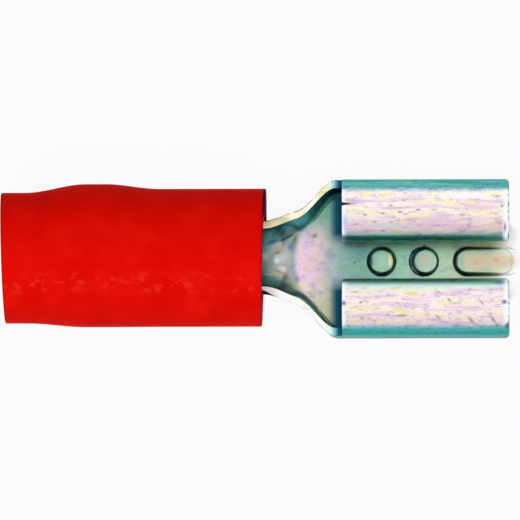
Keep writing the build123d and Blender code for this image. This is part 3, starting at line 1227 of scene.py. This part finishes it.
# Red PVC, extruded and cut: satin, with clouds of about 1.1 mm, and painted shade at the cut front
# edge on the +Y side, away from the lamp. Its fine grit would be too small to show, so it is drawn
# 0.07 mm coarse.
vinyl_red = bpy.data.materials.new("red_extruded_vinyl")
tree = start_nodes(vinyl_red)
sleeve_place = add_node(tree, "Attribute", attribute_name="sleeve_place").outputs["Vector"]
along_sleeve, across_sleeve, _ = add_node(tree, "SeparateXYZ", {"Vector": sleeve_place}).outputs
clouds = add_node(
    tree, "TexNoise", {"Vector": sleeve_place, "Scale": 0.9, "Detail": 4}
).outputs["Fac"]
red = add_node(
    tree,
    "ValToRGB",
    {"Fac": clouds},
    steps=[(0.30, "#E60A02"), (0.50, "#EC0E04"), (0.70, "#F21407")],
).outputs["Color"]
at_front = add_node(
    tree,
    "MapRange",
    {"Value": along_sleeve, "From Min": vinyl_length - 0.10, "From Max": vinyl_length - 0.06},
).outputs["Result"]
to_left = add_node(
    tree, "MapRange", {"Value": across_sleeve, "From Min": 1.15, "From Max": 1.45}
).outputs["Result"]
front_edge_shade_share = add_node(
    tree, "Math", {0: at_front, 1: to_left}, operation="MULTIPLY"
).outputs["Value"]

# A thin dark line of painted shade runs round both cut ends, where they round off away from the
# light, on the outside only
sleeve_share = add_node(
    tree, "MapRange", {"Value": along_sleeve, "From Max": vinyl_length}
).outputs["Result"]
end_shade_share = add_node(
    tree,
    "ValToRGB",
    {"Fac": sleeve_share},
    steps=[
        (0.0, "#C0C0C0"),
        (0.004, "#808080"),
        (0.008, "#000000"),
        (0.993, "#000000"),
        (0.997, "#C0C0C0"),
    ],
).outputs["Color"]
from_axis = add_node(
    tree, "VectorMath", {0: sleeve_place, 1: (0, 1, 1)}, operation="MULTIPLY"
).outputs["Vector"]
from_axis = add_node(tree, "VectorMath", {0: from_axis}, operation="LENGTH").outputs["Value"]
at_outside = add_node(
    tree, "MapRange", {"Value": from_axis, "From Min": 2.30, "From Max": 2.40}
).outputs["Result"]
end_shade_share = add_node(
    tree, "Math", {0: end_shade_share, 1: at_outside}, operation="MULTIPLY"
).outputs["Value"]

# Painted glints about 0.4 by 0.3 mm, where the satin vinyl catches the light, lie in a line along
# the upper right side
glint_space = add_node(
    tree, "Mapping", {"Vector": sleeve_place, "Scale": (2.6, 3.6, 1)}
).outputs["Vector"]
glint_noise = add_node(
    tree, "TexNoise", {"Vector": glint_space, "Scale": 1.0, "Detail": 3, "Roughness": 0.6}
).outputs["Fac"]
glinting = add_node(
    tree, "MapRange", {"Value": glint_noise, "From Min": 0.52, "From Max": 0.68}
).outputs["Result"]
across_line = add_node(
    tree, "MapRange", {"Value": across_sleeve, "From Min": -1.75, "From Max": -0.75}
).outputs["Result"]
glint_band = add_node(
    tree,
    "ValToRGB",
    {"Fac": across_line},
    steps=[(0.0, "#000000"), (0.35, "#D8D8D8"), (0.60, "#D8D8D8"), (1.0, "#000000")],
).outputs["Color"]
glint_share = add_node(
    tree, "Math", {0: glinting, 1: glint_band}, operation="MULTIPLY"
).outputs["Value"]

# The painted glints, the painted shade round the ends and the painted shade on the cut edge lie
# over the red, in this order
for share, colour in ((glint_share, "#FF3620"), (end_shade_share, "#7C0630"), (front_edge_shade_share, "#420424")):
    red = add_node(
        tree, "Mix", {"Factor": share, "A": red, "B": linear(colour)}, data_type="RGBA"
    ).outputs["Result"]
grit = add_node(
    tree, "TexNoise", {"Vector": sleeve_place, "Scale": 14.0, "Detail": 2}
).outputs["Fac"]
grain = add_node(
    tree, "Bump", {"Height": grit, "Strength": 0.12, "Distance": 0.00002}
).outputs["Normal"]
shader = add_node(
    tree,
    "BsdfPrincipled",
    {"Base Color": red, "Roughness": 0.6, "IOR": 1.53, "Specular IOR Level": 0.01, "Normal": grain},
).outputs["BSDF"]
add_node(tree, "OutputMaterial", {"Surface": shader})
finish_piece(
    vinyl,
    "red_vinyl_sleeve",
    smooth_angle=radians(40),
    materials=(vinyl_red,),
    node="insulating_sleeve",
)


# Floor. A plain white table top, 3 m wide, that the terminal lies on. It is one sheet of board,
# with nothing else on it.
table_half_width = 1.5
table_top = bmesh.new()
bmesh.ops.create_grid(table_top, x_segments=1, y_segments=1, size=table_half_width)
floor_mesh = bpy.data.meshes.new("white_table")
table_top.to_mesh(floor_mesh)
table_top.free()


def whether_seen(tree):
    """1 where the camera sees a surface, itself, mirrored or through glass, and 0 elsewhere."""
    ray = add_node(tree, "LightPath")
    seen = ray.outputs["Is Camera Ray"]
    for way in ("Is Glossy Ray", "Is Transmission Ray"):
        seen = add_node(
            tree, "Math", {0: seen, 1: ray.outputs[way]}, operation="MAXIMUM"
        ).outputs["Value"]
    return seen


# White matt board: plain and smooth. It glows for the eye alone, nearly as white as the room, so
# that it reads as paper, and what is left of its own surface keeps the terminal's soft shadow.
white = bpy.data.materials.new("white_matt_board")
tree = start_nodes(white)
paper = add_node(
    tree, "BsdfPrincipled", {"Base Color": linear("#E2E2E2"), "Roughness": 0.9}
).outputs["BSDF"]
glow = add_node(tree, "Emission", {"Color": (1, 1, 1, 1), "Strength": 1.0}).outputs["Emission"]
lift = add_node(
    tree, "Math", {0: whether_seen(tree), 1: 0.92}, operation="MULTIPLY"
).outputs["Value"]
board = add_node(tree, "MixShader", {0: lift, 1: paper, 2: glow}).outputs["Shader"]
add_node(tree, "OutputMaterial", {"Surface": board})
floor_mesh.materials.append(white)
floor = bpy.data.objects.new("white_table", floor_mesh)
bpy.context.scene.collection.objects.link(floor)


# Room. White wherever it is seen or mirrored, and a fifth as bright as a light on dull surfaces,
# which leaves their colours to the lamp.
world = bpy.data.worlds.new("soft_room")
bpy.context.scene.world = world
tree = start_nodes(world)
brightness = add_node(
    tree, "MapRange", {"Value": whether_seen(tree), "To Min": 0.20, "To Max": 1.0}
).outputs["Result"]
sky = add_node(
    tree, "Background", {"Color": (1, 1, 1, 1), "Strength": brightness}
).outputs["Background"]
add_node(tree, "OutputWorld", {"Surface": sky})


# Lamp. One square soft box overhead, 0.8 m wide, that faces the terminal. Its face is 2.2 times as
# bright as white, and the metal doesn't mirror it.
lamp_width = 0.80
lamp_brightness = 2.2
lamp_place = Vector((0, -0.19, 0.64))
lamp = bpy.data.lights.new("overhead_lamp", "AREA")
lamp.size = lamp_width
lamp.energy = lamp_brightness * pi * lamp_width**2
soft_box = bpy.data.objects.new("overhead_lamp", lamp)
soft_box.location = lamp_place
soft_box.rotation_mode = "QUATERNION"
soft_box.rotation_quaternion = (-lamp_place).to_track_quat("-Z", "Y")
soft_box.visible_glossy = False
bpy.context.scene.collection.objects.link(soft_box)


# Camera. Far above the terminal and square to its sleeve, as in the photograph: it leans a little
# forward and to the right-hand side.
view_side = radians(1.0)
view_lean = radians(7.2)
view_distance = 400.0
view_width = 19.59
view_target = Vector((9.674, -0.086, -0.011))
back = Vector((sin(view_side), -sin(view_lean) * cos(view_side), cos(view_lean) * cos(view_side)))
right = Vector((cos(view_side), 0, -sin(view_side)))
right = (right - back * right.dot(back)).normalized()
turn = Matrix((forward, sideways, upward)).transposed()
placed = (turn @ Matrix((right, back.cross(right), back)).transposed()).to_4x4()
placed.translation = lay_down @ (view_target + back * view_distance)
camera = bpy.data.cameras.new("camera")
camera.sensor_width = 36.0
camera.lens = camera.sensor_width * view_distance / view_width
camera.clip_start, camera.clip_end = 0.05, 5.0
viewer = bpy.data.objects.new("camera", camera)
viewer.matrix_world = placed
bpy.context.scene.collection.objects.link(viewer)
bpy.context.scene.camera = viewer
bpy.context.scene.view_settings.view_transform = "Standard"
